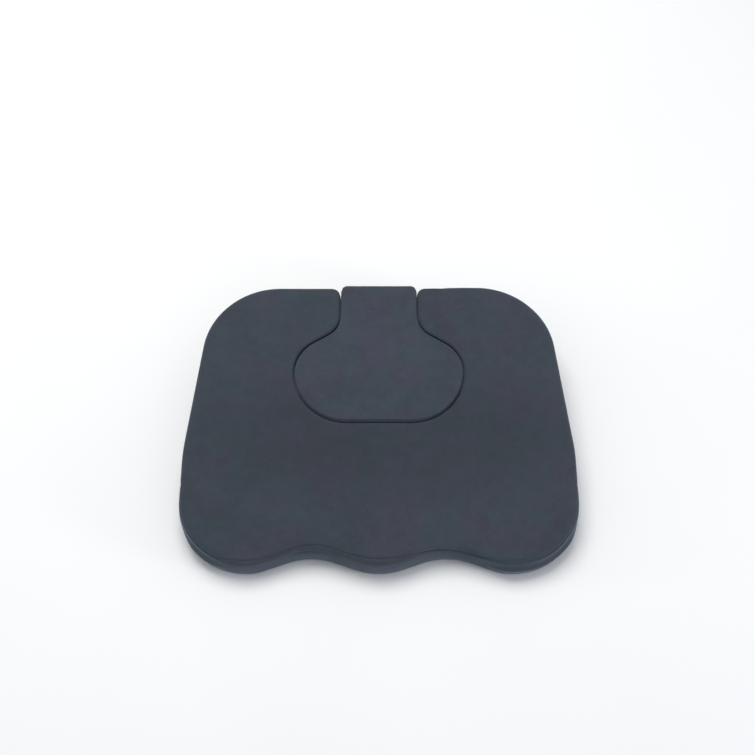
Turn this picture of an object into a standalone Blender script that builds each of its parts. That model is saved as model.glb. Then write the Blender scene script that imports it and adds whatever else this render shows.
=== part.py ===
"""Wedge seat cushion with a keyhole slot at the rear and a removable coccyx insert.

Metres, +Z up. The origin is at the middle of the footprint, on the surface that the cushion rests on.
+Y points to the rear of the seat, and the scalloped front edge faces -Y. The insert lifts out along +Z.
"""

from math import ceil, cos, pi, radians, sin, tan

import bmesh
import bpy
from mathutils import Vector
from mathutils.geometry import tessellate_polygon

MM = 0.001

# Overall size: a wedge, thin at the front and thick at the rear.
WIDTH = 458 * MM
DEPTH = 354 * MM
FRONT_HEIGHT = 33 * MM
REAR_HEIGHT = 75 * MM

# Plan of the main cushion.
WAVE_PITCH = 77 * MM
WAVE_RADIUS = 78 * MM
WAVE_SLOPE = radians(20.2)
SIDE_LOBE_RADIUS = 50 * MM
FRONT_CORNER_RADIUS = 78 * MM
WAIST_Y = -42 * MM
WAIST_RADIUS = 200 * MM
REAR_HALF_WIDTH = 203 * MM
REAR_CORNER_RADIUS = 92 * MM
WING_SETBACK = 2 * MM
WING_TIP_RADIUS = 12 * MM

# Plan of the keyhole slot: a straight neck from the rear edge, then shoulders, then a wide bulb.
NECK_HALF_WIDTH = 47.5 * MM
SHOULDER_Y = 118.5 * MM
SHOULDER_RADIUS = 30 * MM
BULB_HALF_WIDTH = 102 * MM
BULB_REAR_Y = 85.5 * MM
BULB_REAR_RADIUS = 45 * MM
BULB_FRONT_Y = -5.5 * MM
BULB_FRONT_RADIUS = 65 * MM
INSERT_TAIL_RADIUS = 9 * MM

# Where the border strips meet each other.
SIDE_SEAM_Y = -80 * MM
SLOT_SEAM_Y = 155 * MM

# Layers, from the outside in.
GAP = 0.3 * MM
FABRIC = 1.6 * MM
RIM_RADIUS = 6 * MM
COMFORT_THICKNESS = 18 * MM
INSERT_CLEARANCE = 1.2 * MM

# Zip, as a section across the chain. Heights are above the resting surface, so that nothing touches it.
PULL_LOW, PULL_HIGH = 1.25 * MM, 2.15 * MM
OUTER_PLATE_LOW, OUTER_PLATE_HIGH = 2.5 * MM, 3.3 * MM
COIL_LOW, COIL_HIGH = 3.6 * MM, 5.0 * MM
TAPE_LOW, TAPE_HIGH = 5.3 * MM, 6.0 * MM
INNER_PLATE_LOW, INNER_PLATE_HIGH = 6.3 * MM, 7.1 * MM
POCKET_HEIGHT = 8.0 * MM
BRIDGE_LOW = 0.3 * MM
BRIDGE_BAR = 0.6 * MM
COIL_INNER_Y, COIL_OUTER_Y = 0.7 * MM, 3.1 * MM
TAPE_INNER_Y, TAPE_OUTER_Y = 0.8 * MM, 12 * MM
SLIT_HALF_WIDTH = 8 * MM
POCKET_HALF_WIDTH = 13.5 * MM

# Zip, along the chain. The slider rests at the +X end, where the zip is closed.
MAIN_ZIP_Y, MAIN_ZIP_LENGTH = -67 * MM, 370 * MM
INSERT_ZIP_Y, INSERT_ZIP_LENGTH = 38 * MM, 150 * MM
CLOSED_END_MARGIN = 13 * MM
OPEN_END_MARGIN = 20 * MM
SLIDER_TO_STOP = 7 * MM
STOP_LENGTH = 2 * MM
TAPE_OVERRUN = 2 * MM
POCKET_OVERRUN = 4 * MM
SLIDER_HALF_LENGTH, SLIDER_HALF_WIDTH = 4.5 * MM, 4.4 * MM
SLIDER_NOSE_HALF_WIDTH = 5.4 * MM
FLANGE_THICKNESS = 0.8 * MM
POST_HALF_WIDTH = 0.4 * MM
BRIDGE_HALF_LENGTH, BRIDGE_HALF_WIDTH, BRIDGE_LEG = 3.0 * MM, 0.8 * MM, 0.8 * MM
PULL_LENGTH, PULL_HALF_WIDTH = 20 * MM, 3.0 * MM
EYE_REACH, EYE_HALF_WIDTH = 4.2 * MM, 1.6 * MM

# Care label, sewn into the base seam behind the left wing.
LABEL_WIDTH, LABEL_HEIGHT, LABEL_THICKNESS = 30 * MM, 40 * MM, 0.5 * MM
LABEL_X = -90 * MM

ARC_STEP = radians(11)
SHARP_ANGLE = radians(35)
RIM_STEPS = 3

FINISHES = {
    "microfibre": ((0.047, 0.058, 0.076), 0.92, 0.0),
    "insert_microfibre": ((0.052, 0.064, 0.082), 0.92, 0.0),
    "anti_slip_base": ((0.022, 0.024, 0.028), 0.95, 0.0),
    "firm_foam": ((0.30, 0.32, 0.36), 0.95, 0.0),
    "memory_foam": ((0.78, 0.72, 0.55), 0.95, 0.0),
    "zip_tape": ((0.03, 0.035, 0.045), 0.9, 0.0),
    "zip_coil": ((0.035, 0.04, 0.05), 0.4, 0.0),
    "zip_metal": ((0.09, 0.09, 0.1), 0.35, 1.0),
    "label_cloth": ((0.8, 0.8, 0.78), 0.85, 0.0),
}


def clear_scene():
    for obj in list(bpy.data.objects):
        bpy.data.objects.remove(obj, do_unlink=True)


def finish(name):
    """The material of this name, made once."""
    existing = bpy.data.materials.get(name)
    if existing:
        return existing
    colour, roughness, metallic = FINISHES[name]
    made = bpy.data.materials.new(name)
    made.use_nodes = True
    shader = made.node_tree.nodes["Principled BSDF"]
    shader.inputs["Base Color"].default_value = (*colour, 1.0)
    shader.inputs["Roughness"].default_value = roughness
    shader.inputs["Metallic"].default_value = metallic
    return made


# Outlines. A corner is (x, y, radius), and material lies to the left of the way that the outline runs.


def fillet(before, corner, after, radius, inset):
    """Points of the arc that rounds a corner, moved inwards by inset with the arc's centre kept."""
    heading_in = (corner - before).normalized()
    turn = -heading_in.angle_signed((after - corner).normalized())
    inward = Vector((-heading_in.y, heading_in.x))
    if abs(turn) < radians(0.1):
        return [tuple(corner + inward * inset)]
    side = 1 if turn > 0 else -1
    start = corner - heading_in * radius * tan(abs(turn) / 2)
    centre = start + inward * radius * side
    steps = max(2, ceil(abs(turn) / ARC_STEP))
    reach = -side * (radius - side * inset)
    arc = []
    for step in range(steps + 1):
        angle = turn * step / steps
        spoke = Vector((
            inward.x * cos(angle) - inward.y * sin(angle),
            inward.x * sin(angle) + inward.y * cos(angle),
        ))
        arc.append(tuple(centre + spoke * reach))
    return arc


def rounded(corners, inset=0.0, closed=True):
    """The outline through the corners with each one rounded, moved inwards by inset."""
    places = [Vector(corner[:2]) for corner in corners]
    last = len(corners) - 1
    points = []
    for index, (x, y, radius) in enumerate(corners):
        corner = places[index]
        before, after = places[index - 1], places[(index + 1) % len(corners)]
        if not closed and index == 0:
            before = 2 * corner - after
        if not closed and index == last:
            after = 2 * corner - before
        points += fillet(before, corner, after, radius, inset)
    return points


def mirrored(corners):
    return [(-x, y, radius) for x, y, radius in reversed(corners)]


def half_front_corners():
    """From the first cove right of the middle to the side seam."""
    bulge = WAVE_RADIUS * (1 / cos(WAVE_SLOPE) - 1)
    lobe_y = -DEPTH / 2 - bulge
    cove_y = lobe_y + WAVE_PITCH * tan(WAVE_SLOPE)
    side_lobe_x = WAVE_PITCH + (cove_y + DEPTH / 2) / tan(WAVE_SLOPE)
    return [
        (WAVE_PITCH, cove_y, WAVE_RADIUS),
        (side_lobe_x, -DEPTH / 2, SIDE_LOBE_RADIUS),
        (WIDTH / 2, -DEPTH / 2, FRONT_CORNER_RADIUS),
        (WIDTH / 2, SIDE_SEAM_Y, 0),
    ]


def front_corners():
    bulge = WAVE_RADIUS * (1 / cos(WAVE_SLOPE) - 1)
    middle_lobe = (0, -DEPTH / 2 - bulge, WAVE_RADIUS)
    right = half_front_corners()
    return [*mirrored(right), middle_lobe, *right]


def right_side_corners():
    """From the side seam, round the rear corner and the wing's tip, to the seam in the slot."""
    rear_y = DEPTH / 2 - WING_SETBACK
    return [
        (WIDTH / 2, SIDE_SEAM_Y + GAP, 0),
        (WIDTH / 2, WAIST_Y, WAIST_RADIUS),
        (REAR_HALF_WIDTH, rear_y, REAR_CORNER_RADIUS),
        (NECK_HALF_WIDTH, rear_y, WING_TIP_RADIUS),
        (NECK_HALF_WIDTH, SLOT_SEAM_Y + GAP, 0),
    ]


def half_slot_corners():
    return [
        (NECK_HALF_WIDTH, SHOULDER_Y, SHOULDER_RADIUS),
        (BULB_HALF_WIDTH, BULB_REAR_Y, BULB_REAR_RADIUS),
        (BULB_HALF_WIDTH, BULB_FRONT_Y, BULB_FRONT_RADIUS),
    ]


def slot_corners():
    half = [(NECK_HALF_WIDTH, SLOT_SEAM_Y, 0), *half_slot_corners()]
    return [*half, *mirrored(half)]


def cushion_corners():
    return [*front_corners(), *right_side_corners(), *slot_corners(), *mirrored(right_side_corners())]


def insert_corners():
    """The slot's own shape closed at the rear edge; the insert is this shape moved in by its clearance."""
    tail = (NECK_HALF_WIDTH, DEPTH / 2 + INSERT_CLEARANCE, INSERT_TAIL_RADIUS)
    left = mirrored([*reversed(half_slot_corners())])
    return [tail, *mirrored([tail]), *left, *mirrored(left)]


# Rings: outlines at a height. The wedge's top is a plane that rises to the rear.


def top_height(y):
    return FRONT_HEIGHT + (REAR_HEIGHT - FRONT_HEIGHT) * (y + DEPTH / 2) / DEPTH


def level(outline, height):
    return [(x, y, height) for x, y in outline]


def below_top(outline, drop):
    return [(x, y, top_height(y) - drop) for x, y in outline]


def rim_rings(corners, base_inset, wall_inset, radius, drop):
    """Rings that turn a wall over into the top, from the wall's top edge to the edge of the flat."""
    rings = []
    for step in range(RIM_STEPS + 1):
        angle = pi / 2 * step / RIM_STEPS
        inset = base_inset + wall_inset + radius * (1 - cos(angle))
        rings.append(below_top(rounded(corners, inset), drop + radius * (1 - sin(angle))))
    return rings


def rectangle(x_low, x_high, y_low, y_high):
    return [(x_low, y_low), (x_high, y_low), (x_high, y_high), (x_low, y_high)]


def slit_rectangle(zip_y, length, half_width, overrun):
    half = length / 2 + overrun
    return rectangle(-half, half, zip_y - half_width, zip_y + half_width)


# Solids.


def side_faces(first, second):
    """Quads between two rings of vertices."""
    count = len(first)
    return [(first[i], first[(i + 1) % count], second[(i + 1) % count], second[i]) for i in range(count)]


def pierced_cap(ring, hole):
    loops = [[vertex.co for vertex in ring], [vertex.co for vertex in hole]]
    vertices = [*ring, *hole]
    return [tuple(vertices[i] for i in triangle) for triangle in tessellate_polygon(loops)]


def add_object(name, mesh_maker, finish_name):
    mesh = bpy.data.meshes.new(name)
    bmesh.ops.recalc_face_normals(mesh_maker, faces=mesh_maker.faces)
    mesh_maker.to_mesh(mesh)
    mesh_maker.free()
    mesh.materials.append(finish(finish_name))
    mesh.shade_smooth()
    mesh.set_sharp_from_angle(angle=SHARP_ANGLE)
    obj = bpy.data.objects.new(name, mesh)
    bpy.context.scene.collection.objects.link(obj)
    return obj


def loft(name, rings, finish_name, endless=False, hole=None, hole_opens_above=False):
    """A closed solid through rings of equal length, capped at both ends unless it is endless.

    hole is a second run of rings that starts in the first cap. It ends blind, or in the last cap if it opens above.
    """
    maker = bmesh.new()
    made = [[maker.verts.new(point) for point in ring] for ring in rings]
    faces = []
    for first, second in zip(made, made[1:]):
        faces += side_faces(first, second)
    if endless:
        faces += side_faces(made[-1], made[0])
    elif hole is None:
        faces += [tuple(made[0]), tuple(made[-1])]
    else:
        bored = [[maker.verts.new(point) for point in ring] for ring in hole]
        for first, second in zip(bored, bored[1:]):
            faces += side_faces(first, second)
        faces += pierced_cap(made[0], bored[0])
        faces += pierced_cap(made[-1], bored[-1]) if hole_opens_above else [tuple(bored[-1]), tuple(made[-1])]
    for face in faces:
        maker.faces.new(face)
    return add_object(name, maker, finish_name)


def prism(name, outline, low, high, finish_name):
    return loft(name, [level(outline, low), level(outline, high)], finish_name)


def unite(obj, helpers):
    """Joins the helpers to the object. The helpers stay in the scene as hidden wires."""
    for helper in helpers:
        helper.hide_render = True
        helper.display_type = "WIRE"
        union = obj.modifiers.new("join_" + helper.name, "BOOLEAN")
        union.operation = "UNION"
        union.solver = "EXACT"
        union.object = helper


# Foams.


def foam_wedge(name, corners, base_inset, zip_y, zip_length):
    """Firm wedge, with a blind pocket underneath that the zip lies in."""
    outline = rounded(corners, base_inset + FABRIC + GAP)
    rings = [
        level(outline, FABRIC + GAP),
        below_top(outline, FABRIC + 2 * GAP + COMFORT_THICKNESS),
    ]
    pocket = slit_rectangle(zip_y, zip_length, POCKET_HALF_WIDTH, POCKET_OVERRUN)
    pocket_rings = [level(pocket, FABRIC + GAP), level(pocket, POCKET_HEIGHT)]
    return loft(name, rings, "firm_foam", hole=pocket_rings)


def comfort_layer(name, corners, base_inset):
    """Even layer of memory foam on the wedge, with a rounded upper edge."""
    lining = FABRIC + GAP
    lowest = below_top(rounded(corners, base_inset + lining), lining + COMFORT_THICKNESS)
    rings = [lowest, *rim_rings(corners, base_inset, lining, RIM_RADIUS - lining, lining)]
    return loft(name, rings, "memory_foam")


# Covers.


def top_panel(name, corners, base_inset, finish_name):
    """Fabric sheet with its edge turned down over the rim of the foam."""
    inside = rim_rings(corners, base_inset, FABRIC, RIM_RADIUS - FABRIC, FABRIC)
    outside = rim_rings(corners, base_inset, 0, RIM_RADIUS, 0)
    return loft(name, [*reversed(inside), *outside], finish_name)


def border_sections(corners, base_inset, closed):
    """Upright rectangles across the strip, one at each point along it."""
    outer = rounded(corners, base_inset, closed)
    inner = rounded(corners, base_inset + FABRIC, closed)
    low, drop = FABRIC + GAP, RIM_RADIUS + GAP
    return [
        [
            (*outside, low),
            (*inside, low),
            (*inside, top_height(inside[1]) - drop),
            (*outside, top_height(outside[1]) - drop),
        ]
        for outside, inside in zip(outer, inner)
    ]


def border_strip(name, corners):
    return loft(name, border_sections(corners, 0, closed=False), "microfibre")


def insert_border():
    sections = border_sections(insert_corners(), INSERT_CLEARANCE, closed=True)
    return loft("insert_border", sections, "insert_microfibre", endless=True)


def base_panel(name, corners, base_inset, zip_y, zip_length):
    """Flat sheet that the cushion rests on. Its fabric turns up round the zip slit, to the zip's tapes."""
    outline = rounded(corners, base_inset)
    slit = slit_rectangle(zip_y, zip_length, SLIT_HALF_WIDTH, 0)
    fold = slit_rectangle(zip_y, zip_length, SLIT_HALF_WIDTH + FABRIC, FABRIC)
    turned_up = TAPE_LOW - GAP
    slit_rings = [level(slit, 0), level(slit, turned_up), level(fold, turned_up), level(fold, FABRIC)]
    rings = [level(outline, 0), level(outline, FABRIC)]
    return loft(name, rings, "anti_slip_base", hole=slit_rings, hole_opens_above=True)


def care_label():
    rear_y = DEPTH / 2 - WING_SETBACK + GAP
    outline = rectangle(
        LABEL_X - LABEL_WIDTH / 2, LABEL_X + LABEL_WIDTH / 2, rear_y, rear_y + LABEL_THICKNESS
    )
    return prism("care_label", outline, FABRIC + GAP, FABRIC + GAP + LABEL_HEIGHT, "label_cloth")


# Zips. Each is a chain along X, with its slider and pull on the side that faces down.


def chain_span(length):
    """Where the coils start and end along X, from the open end to the closed end."""
    return -length / 2 + OPEN_END_MARGIN, length / 2 - CLOSED_END_MARGIN


def slider_rest_x(length):
    return chain_span(length)[1] - SLIDER_TO_STOP


def zip_tape(name, zip_y, length, side):
    half = length / 2 + TAPE_OVERRUN
    edges = sorted((zip_y + side * TAPE_INNER_Y, zip_y + side * TAPE_OUTER_Y))
    return prism(name, rectangle(-half, half, *edges), TAPE_LOW, TAPE_HIGH, "zip_tape")


def zip_bar(name, zip_y, side, start, end, finish_name):
    """A straight piece under one tape: a coil, or the stop that ends it."""
    edges = sorted((zip_y + side * COIL_INNER_Y, zip_y + side * COIL_OUTER_Y))
    return prism(name, rectangle(start, end, *edges), COIL_LOW, COIL_HIGH, finish_name)


def bottom_stop(name, zip_y, start):
    outline = rectangle(start - GAP - STOP_LENGTH, start - GAP, zip_y - COIL_OUTER_Y, zip_y + COIL_OUTER_Y)
    return prism(name, outline, COIL_LOW, COIL_HIGH, "zip_metal")


def slider_outline():
    """Plate that widens towards the nose, where the two coils part."""
    tail, nose = -SLIDER_HALF_LENGTH, SLIDER_HALF_LENGTH
    half = [
        (nose, SLIDER_NOSE_HALF_WIDTH, 2 * MM),
        (0, SLIDER_HALF_WIDTH, 4 * MM),
        (tail, SLIDER_HALF_WIDTH, 1 * MM),
    ]
    lower = [(x, -y, radius) for x, y, radius in reversed(half)]
    return rounded([*half, *lower])


def bridge_outline():
    """Arch seen along Y: two legs and the bar that the pull hangs on."""
    reach, inner = BRIDGE_HALF_LENGTH, BRIDGE_HALF_LENGTH - BRIDGE_LEG
    rooted = OUTER_PLATE_LOW + GAP
    bar_top = BRIDGE_LOW + BRIDGE_BAR
    return [
        (-reach, rooted), (-reach, BRIDGE_LOW), (reach, BRIDGE_LOW), (reach, rooted),
        (inner, rooted), (inner, bar_top), (-inner, bar_top), (-inner, rooted),
    ]


def zip_slider(name, place):
    """Two plates joined by a thin post between the coils, with flanges outside them and a bridge below."""
    slider = prism(name, slider_outline(), OUTER_PLATE_LOW, OUTER_PLATE_HIGH, "zip_metal")
    inner_plate = prism(name + "_inner", slider_outline(), INNER_PLATE_LOW, INNER_PLATE_HIGH, "zip_metal")
    post = prism(
        name + "_post",
        rectangle(GAP, SLIDER_HALF_LENGTH - GAP, -POST_HALF_WIDTH, POST_HALF_WIDTH),
        OUTER_PLATE_HIGH - GAP, INNER_PLATE_LOW + GAP, "zip_metal",
    )
    helpers = [post, inner_plate]
    for side in (-1, 1):
        edges = sorted((side * (SLIDER_HALF_WIDTH - GAP / 2), side * (SLIDER_HALF_WIDTH - FLANGE_THICKNESS)))
        flange = rectangle(GAP - SLIDER_HALF_LENGTH, SLIDER_HALF_LENGTH - 2 * GAP, *edges)
        top = TAPE_LOW - GAP
        helpers.append(prism(f"{name}_flange_{side}", flange, OUTER_PLATE_HIGH - GAP, top, "zip_metal"))
    arch = [
        [(x, y, z) for x, z in bridge_outline()] for y in (-BRIDGE_HALF_WIDTH, BRIDGE_HALF_WIDTH)
    ]
    helpers.append(loft(name + "_bridge", arch, "zip_metal"))
    for obj in [slider, *helpers]:
        obj.location = place
    unite(slider, helpers)
    return slider


def zip_pull(name, slider_place):
    """Flat tab with an eye round the bridge. Its origin is on the line that it swings about."""
    thickness = PULL_HIGH - PULL_LOW
    bar = thickness / 2
    tip = bar - PULL_LENGTH
    tab = rounded([
        (tip, -PULL_HALF_WIDTH, 1.5 * MM),
        (bar, -PULL_HALF_WIDTH, 0.8 * MM),
        (bar, PULL_HALF_WIDTH, 0.8 * MM),
        (tip, PULL_HALF_WIDTH, 1.5 * MM),
    ])
    eye = rectangle(-EYE_REACH, -bar, -EYE_HALF_WIDTH, EYE_HALF_WIDTH)
    rings = [level(tab, -bar), level(tab, bar)]
    eye_rings = [level(eye, -bar), level(eye, bar)]
    pull = loft(name, rings, "zip_metal", hole=eye_rings, hole_opens_above=True)
    pull.location = slider_place + Vector((0, 0, (PULL_LOW + PULL_HIGH) / 2))
    return pull


def zip_set(prefix, zip_y, length):
    start, end = chain_span(length)
    for label, side in (("front", -1), ("rear", 1)):
        zip_tape(f"{prefix}_zip_tape_{label}", zip_y, length, side)
        zip_bar(f"{prefix}_zip_coil_{label}", zip_y, side, start, end, "zip_coil")
        stop_start = end + GAP
        stop_end = stop_start + STOP_LENGTH
        zip_bar(f"{prefix}_zip_top_stop_{label}", zip_y, side, stop_start, stop_end, "zip_metal")
    bottom_stop(f"{prefix}_zip_bottom_stop", zip_y, start)
    place = Vector((slider_rest_x(length), zip_y, 0))
    zip_slider(f"{prefix}_zip_slider", place)
    zip_pull(f"{prefix}_zip_pull", place)


def main_cushion():
    corners = cushion_corners()
    foam_wedge("main_foam_wedge", corners, 0, MAIN_ZIP_Y, MAIN_ZIP_LENGTH)
    comfort_layer("main_memory_foam", corners, 0)
    top_panel("cover_top_panel", corners, 0, "microfibre")
    border_strip("cover_border_front", front_corners())
    border_strip("cover_border_right", right_side_corners())
    border_strip("cover_border_left", mirrored(right_side_corners()))
    border_strip("cover_border_slot", slot_corners())
    base_panel("cover_base_panel", corners, 0, MAIN_ZIP_Y, MAIN_ZIP_LENGTH)
    care_label()
    zip_set("main", MAIN_ZIP_Y, MAIN_ZIP_LENGTH)


def coccyx_insert():
    corners = insert_corners()
    foam_wedge("insert_foam_wedge", corners, INSERT_CLEARANCE, INSERT_ZIP_Y, INSERT_ZIP_LENGTH)
    comfort_layer("insert_memory_foam", corners, INSERT_CLEARANCE)
    top_panel("insert_top_panel", corners, INSERT_CLEARANCE, "insert_microfibre")
    insert_border()
    base_panel("insert_base_panel", corners, INSERT_CLEARANCE, INSERT_ZIP_Y, INSERT_ZIP_LENGTH)
    zip_set("insert", INSERT_ZIP_Y, INSERT_ZIP_LENGTH)


clear_scene()
main_cushion()
coccyx_insert()
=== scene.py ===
"""Wedge seat cushion with a lift-out coccyx insert: fabric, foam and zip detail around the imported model."""

from math import ceil, cos, pi, radians, sin, tan

import bpy
import numpy as np
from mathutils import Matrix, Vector, noise
from mathutils.geometry import delaunay_2d_cdt


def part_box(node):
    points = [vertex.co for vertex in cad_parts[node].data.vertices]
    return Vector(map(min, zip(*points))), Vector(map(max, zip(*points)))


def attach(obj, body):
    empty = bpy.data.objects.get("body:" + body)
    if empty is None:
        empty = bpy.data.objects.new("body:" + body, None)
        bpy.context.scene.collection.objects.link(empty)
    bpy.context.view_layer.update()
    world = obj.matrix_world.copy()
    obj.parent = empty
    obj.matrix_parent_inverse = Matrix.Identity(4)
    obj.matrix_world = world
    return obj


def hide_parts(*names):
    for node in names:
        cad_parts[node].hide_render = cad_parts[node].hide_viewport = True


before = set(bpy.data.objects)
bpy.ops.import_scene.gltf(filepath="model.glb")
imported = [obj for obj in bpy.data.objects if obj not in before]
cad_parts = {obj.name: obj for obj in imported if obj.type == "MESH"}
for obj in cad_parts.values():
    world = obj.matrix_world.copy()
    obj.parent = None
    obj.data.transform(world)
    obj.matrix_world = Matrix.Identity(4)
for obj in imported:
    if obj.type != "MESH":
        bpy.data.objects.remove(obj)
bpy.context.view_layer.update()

MM = 0.001

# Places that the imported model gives.
TOP_LOW, TOP_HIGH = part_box("cover_top_panel")
INSERT_LOW, INSERT_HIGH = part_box("insert_border")
_, FRONT_BORDER_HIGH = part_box("cover_border_front")
SIDE_BORDER_LOW, SIDE_BORDER_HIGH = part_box("cover_border_right")
_, SLOT_BORDER_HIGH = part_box("cover_border_slot")
LABEL_LOW, LABEL_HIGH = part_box("care_label")

HALF_WIDTH = TOP_HIGH.x
FRONT_Y = TOP_LOW.y
WING_REAR_Y = TOP_HIGH.y
SIDE_SEAM_Y = FRONT_BORDER_HIGH.y
SLOT_SEAM_Y = SLOT_BORDER_HIGH.y
TAIL_REAR_Y = INSERT_HIGH.y
NECK_HALF_WIDTH = SIDE_BORDER_LOW.x
CLEARANCE = 1.2 * MM
BULB_FRONT_Y = INSERT_LOW.y - CLEARANCE
BULB_HALF_WIDTH = INSERT_HIGH.x + CLEARANCE

# The top is a plane that rises to the rear. The side borders' top edges lie this far under it.
BORDER_DROP = 6.3 * MM
SLOPE = (SIDE_BORDER_HIGH.z - FRONT_BORDER_HIGH.z) / (WING_REAR_Y - SIDE_SEAM_Y)
SEAM_HEIGHT = FRONT_BORDER_HIGH.z + BORDER_DROP
COMFORT_DROP = 20.2 * MM

# Plan radii and the front edge's wave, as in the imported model, but for the tips and the tail: the
# filled cloth draws these out to a tighter corner.
WAVE_PITCH = HALF_WIDTH * 77 / 229
WAVE_RADIUS = 78 * MM
WAVE_SLOPE = radians(20.2)
SIDE_LOBE_RADIUS = 50 * MM
FRONT_CORNER_RADIUS = 78 * MM
WAIST_Y = -42 * MM
WAIST_RADIUS = 200 * MM
REAR_HALF_WIDTH = HALF_WIDTH * 203 / 229
REAR_CORNER_RADIUS = 92 * MM
LEFT_TIP_RADIUS, RIGHT_TIP_RADIUS = 10.5 * MM, 9 * MM
SHOULDER_Y, SHOULDER_RADIUS = 118.5 * MM, 30 * MM
BULB_REAR_Y, BULB_REAR_RADIUS = 85.5 * MM, 45 * MM
BULB_FRONT_RADIUS = 65 * MM
TAIL_RADIUS = 8.5 * MM

# Cloth and seams.
CLOTH = 1.0 * MM
SEAM_DEPTH, SLOT_SEAM_DEPTH, UPRIGHT_SEAM_DEPTH = 1.7 * MM, 1.5 * MM, 1.3 * MM
SEAM_HALF_WIDTH = 1.2 * MM
SEAM_ALONG = 0.8 * MM
OUTER_RIM, SLOT_RIM, INSERT_RIM = 6.5 * MM, 5.0 * MM, 2.8 * MM
BASE_HEIGHT = 0.5 * MM
BASE_SEAM_HEIGHT = 2.4 * MM
WALL_FOOT = 4.2 * MM
SLOT_WALL_BULGE = 0.52 * MM
OUTER_WALL_BULGE = 1.2 * MM
FOAM_INSET = 2.4 * MM
FOAM_BASE = 1.9 * MM

# Flat sizes of the cloth before it is sewn. They are estimates, not unrolled from the panels.
FRONT_STRIP, SIDE_STRIP = (0.042, 0.680), (0.074, 0.440)
SLOT_STRIP, INSERT_STRIP = (0.074, 0.500), (0.074, 0.660)

# The underside's grip dots, and the stitches round the zips' slits.
DOT_PITCH, DOT_RADIUS, DOT_HEIGHT, DOT_MARGIN = 9.5 * MM, 1.7 * MM, 0.5 * MM, 10 * MM
STITCH_PITCH, STITCH_HALF_LENGTH, STITCH_HALF_WIDTH = 3.6 * MM, 1.25 * MM, 0.3 * MM

# Mesh spacing.
ALONG = 3.5 * MM
GRID, MIDDLING_GRID, COARSE_GRID = 4.5 * MM, 9 * MM, 14 * MM
RIM_REACH = 13 * MM
TIP_REACH, TIP_ZONE = 6.3 * MM, 14 * MM
WALL_RINGS, TOP_RINGS = 14, 12
CREASE_STEP = 1.5 * MM
PRESSURE, SWELLING_FRAMES = 12.0, 20

# Zip places across the chain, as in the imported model.
TAPE_INNER, TAPE_OUTER = 0.8 * MM, 12 * MM
TAPE_LOW, TAPE_HIGH = 5.3 * MM, 5.9 * MM
COIL_INNER, COIL_OUTER = 0.5 * MM, 3.05 * MM
COIL_LOW, COIL_HIGH = 3.65 * MM, 4.95 * MM
COIL_PITCH = 1.5 * MM
SLIT_HALF_WIDTH, SLIT_CORNER = 8 * MM, 2 * MM
POCKET_HALF_WIDTH, POCKET_HEIGHT, POCKET_OVERRUN = 13.5 * MM, 8.0 * MM, 4 * MM
TAPE_OVERRUN = 2 * MM


# -------- outlines


def straight(start, end, spacing):
    """Points after start and before end, about this far apart."""
    count = int((end - start).length / spacing)
    return [start.lerp(end, (i + 1) / (count + 1)) for i in range(count)]


def arc_at(before, corner, after, radius, spacing):
    """(point, unit vector inwards) along the arc that rounds a corner."""
    heading = (corner - before).normalized()
    turn = -heading.angle_signed((after - corner).normalized())
    normal = Vector((-heading.y, heading.x))
    if abs(turn) < radians(0.1):
        return [(corner, normal)]
    side = 1 if turn > 0 else -1
    start = corner - heading * radius * tan(abs(turn) / 2)
    centre = start + normal * radius * side
    steps = max(ceil(abs(turn) * radius / spacing), ceil(abs(turn) / radians(10)))
    arc = []
    for step in range(steps + 1):
        angle = turn * step / steps
        spoke = Vector((
            normal.x * cos(angle) - normal.y * sin(angle),
            normal.x * sin(angle) + normal.y * cos(angle),
        ))
        arc.append((centre - spoke * radius * side, spoke))
    return arc


def sample(corners, spacing):
    """Points along a closed outline through rounded corners, and the unit vector inwards at each.

    A corner is (x, y, radius), and the inside lies to the left of the way that the outline runs.
    """
    places = [Vector(corner[:2]) for corner in corners]
    arcs = []
    for index, (_, _, radius) in enumerate(corners):
        after = places[(index + 1) % len(places)]
        arcs.append(arc_at(places[index - 1], places[index], after, radius, spacing))
    points, inward = [], []
    for index, arc in enumerate(arcs):
        run = straight(arc[-1][0], arcs[(index + 1) % len(arcs)][0][0], spacing)
        points += [place for place, _ in arc] + run
        inward += [normal for _, normal in arc] + [arc[-1][1]] * len(run)
    return np.array([tuple(p) for p in points]), np.array([tuple(n) for n in inward])


def mirrored(corners):
    return [(-x, y, radius) for x, y, radius in reversed(corners)]


def front_corners():
    bulge = WAVE_RADIUS * (1 / cos(WAVE_SLOPE) - 1)
    lobe_y = FRONT_Y - bulge
    cove_y = lobe_y + WAVE_PITCH * tan(WAVE_SLOPE)
    right = [
        (WAVE_PITCH, cove_y, WAVE_RADIUS),
        (WAVE_PITCH + (cove_y - FRONT_Y) / tan(WAVE_SLOPE), FRONT_Y, SIDE_LOBE_RADIUS),
        (HALF_WIDTH, FRONT_Y, FRONT_CORNER_RADIUS),
    ]
    return [*mirrored(right), (0, lobe_y, WAVE_RADIUS), *right]


def upright_seam(x, y, heading):
    """Three points on a straight stretch, close enough together to hold a narrow crease."""
    return [(x, y + heading * step * CREASE_STEP, 0) for step in (-1, 0, 1)]


def side_corners(tip_radius):
    return [
        *upright_seam(HALF_WIDTH, SIDE_SEAM_Y, 1),
        (HALF_WIDTH, WAIST_Y, WAIST_RADIUS),
        (REAR_HALF_WIDTH, WING_REAR_Y, REAR_CORNER_RADIUS),
        (NECK_HALF_WIDTH, WING_REAR_Y, tip_radius),
        *upright_seam(NECK_HALF_WIDTH, SLOT_SEAM_Y, -1),
    ]


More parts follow.
